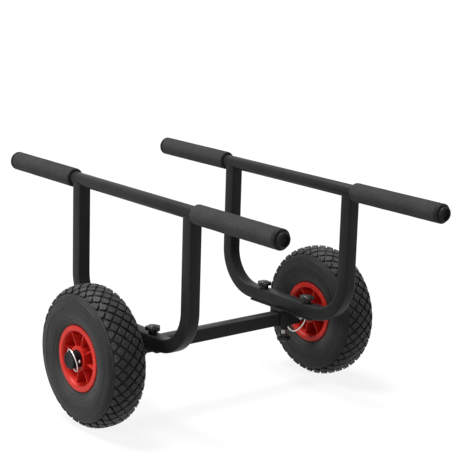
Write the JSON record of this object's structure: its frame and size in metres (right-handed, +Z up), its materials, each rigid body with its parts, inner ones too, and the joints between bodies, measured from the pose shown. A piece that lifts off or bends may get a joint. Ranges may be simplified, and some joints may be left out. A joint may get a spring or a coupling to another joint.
{
  "type": "kayak cart",
  "caption": "Two-wheel kayak cart: a square axle beam on fat air tyres, with sliding U-shaped cradle frames that carry padded rails.",
  "frame": {"origin": "on the ground, midway between the wheels and under the axle", "axes": "+X along the axle towards the right wheel, +Y along the padded rails towards the rear, +Z up"},
  "size_m": [0.6516, 0.818, 0.4317],
  "materials": {
    "black_paint": "satin black powder coat on steel tube",
    "black_plastic": "moulded black plastic",
    "grey_foam": "closed-cell foam, fine matt skin",
    "tyre_rubber": "dark grey tyre rubber",
    "tube_rubber": "black inner tube rubber",
    "red_plastic": "moulded red plastic, satin",
    "bright_zinc": "bright zinc plate"
  },
  "bodies": {
    "axle": {"axle_beam": "black_paint", "axle_shaft_left": "black_paint", "axle_shaft_right": "black_paint", "hub_spacer_left": "black_paint", "hub_spacer_right": "black_paint", "axle_cap_left": "black_plastic", "axle_cap_right": "black_plastic", "axle_pin_left": "bright_zinc", "axle_pin_right": "bright_zinc"},
    "left_wheel": {"tyre_left": "tyre_rubber", "inner_tube_left": "tube_rubber", "rim_left": "red_plastic", "valve_left": "tube_rubber", "outer_bush_left": "black_plastic", "inner_bush_left": "black_plastic"},
    "right_wheel": {"tyre_right": "tyre_rubber", "inner_tube_right": "tube_rubber", "rim_right": "red_plastic", "valve_right": "tube_rubber", "outer_bush_right": "black_plastic", "inner_bush_right": "black_plastic"},
    "left_ring": {"axle_pin_ring_left": "bright_zinc"},
    "right_ring": {"axle_pin_ring_right": "bright_zinc"},
    "left_cradle": {"slider_left": "black_paint", "slider_plate_left": "black_paint", "slider_pin_left": "bright_zinc", "cradle_frame_left": "black_paint", "rail_left": "black_paint", "clamp_boss_left": "black_paint", "grip_left_front": "grey_foam", "grip_left_rear": "grey_foam", "rail_cap_left_front": "black_plastic", "rail_cap_left_rear": "black_plastic"},
    "right_cradle": {"slider_right": "black_paint", "slider_plate_right": "black_paint", "slider_pin_right": "bright_zinc", "cradle_frame_right": "black_paint", "rail_right": "black_paint", "clamp_boss_right": "black_paint", "grip_right_front": "grey_foam", "grip_right_rear": "grey_foam", "rail_cap_right_front": "black_plastic", "rail_cap_right_rear": "black_plastic"},
    "left_bow": {"slider_pin_bow_left": "bright_zinc"},
    "right_bow": {"slider_pin_bow_right": "bright_zinc"},
    "left_clamp": {"clamp_stud_left": "bright_zinc", "clamp_knob_left": "black_plastic"},
    "right_clamp": {"clamp_stud_right": "bright_zinc", "clamp_knob_right": "black_plastic"},
    "left_front_knob": {"frame_stud_left_front": "bright_zinc", "frame_knob_left_front": "black_plastic"},
    "left_rear_knob": {"frame_stud_left_rear": "bright_zinc", "frame_knob_left_rear": "black_plastic"},
    "right_front_knob": {"frame_stud_right_front": "bright_zinc", "frame_knob_right_front": "black_plastic"},
    "right_rear_knob": {"frame_stud_right_rear": "bright_zinc", "frame_knob_right_rear": "black_plastic"}
  },
  "joints": [
    {"name": "left_wheel_spin", "type": "hinge", "parent": "axle", "child": "left_wheel", "pos_m": [-0.2745, 0, 0.13], "axis": [1, 0, 0], "continuous": true},
    {"name": "right_wheel_spin", "type": "hinge", "parent": "axle", "child": "right_wheel", "pos_m": [0.2745, 0, 0.13], "axis": [1, 0, 0], "continuous": true},
    {"name": "left_ring_swing", "type": "hinge", "parent": "axle", "child": "left_ring", "pos_m": [-0.3128, 0.0193, 0.13], "axis": [0.2588, 0, -0.9659], "range_deg": [0, 97]},
    {"name": "right_ring_swing", "type": "hinge", "parent": "axle", "child": "right_ring", "pos_m": [0.3128, 0.0193, 0.13], "axis": [0.2588, 0, 0.9659], "range_deg": [0, 97]},
    {"name": "left_cradle_slide", "type": "slide", "parent": "axle", "child": "left_cradle", "axis": [-1, 0, 0], "range_m": [-0.038, 0.005]},
    {"name": "right_cradle_slide", "type": "slide", "parent": "axle", "child": "right_cradle", "axis": [1, 0, 0], "range_m": [-0.028, 0.015]},
    {"name": "left_bow_swing", "type": "hinge", "parent": "left_cradle", "child": "left_bow", "pos_m": [-0.21, 0.0208, 0.13], "axis": [1, 0, 0], "range_deg": [0, 100]},
    {"name": "right_bow_swing", "type": "hinge", "parent": "right_cradle", "child": "right_bow", "pos_m": [0.2, 0.0208, 0.13], "axis": [1, 0, 0], "range_deg": [0, 100]},
    {"name": "left_clamp_turn", "type": "hinge", "parent": "left_cradle", "child": "left_clamp", "pos_m": [-0.189, 0, 0.1], "axis": [0, 0, -1], "range_deg": [0, 900]},
    {"name": "right_clamp_turn", "type": "hinge", "parent": "right_cradle", "child": "right_clamp", "pos_m": [0.179, 0, 0.1], "axis": [0, 0, -1], "range_deg": [0, 900]},
    {"name": "left_front_knob_turn", "type": "hinge", "parent": "left_cradle", "child": "left_front_knob", "pos_m": [-0.189, -0.064, 0.175], "axis": [0, 0, 1], "range_deg": [0, 990]},
    {"name": "left_rear_knob_turn", "type": "hinge", "parent": "left_cradle", "child": "left_rear_knob", "pos_m": [-0.189, 0.064, 0.175], "axis": [0, 0, 1], "range_deg": [0, 990]},
    {"name": "right_front_knob_turn", "type": "hinge", "parent": "right_cradle", "child": "right_front_knob", "pos_m": [0.179, -0.064, 0.175], "axis": [0, 0, 1], "range_deg": [0, 990]},
    {"name": "right_rear_knob_turn", "type": "hinge", "parent": "right_cradle", "child": "right_rear_knob", "pos_m": [0.179, 0.064, 0.175], "axis": [0, 0, 1], "range_deg": [0, 990]}
  ]
}
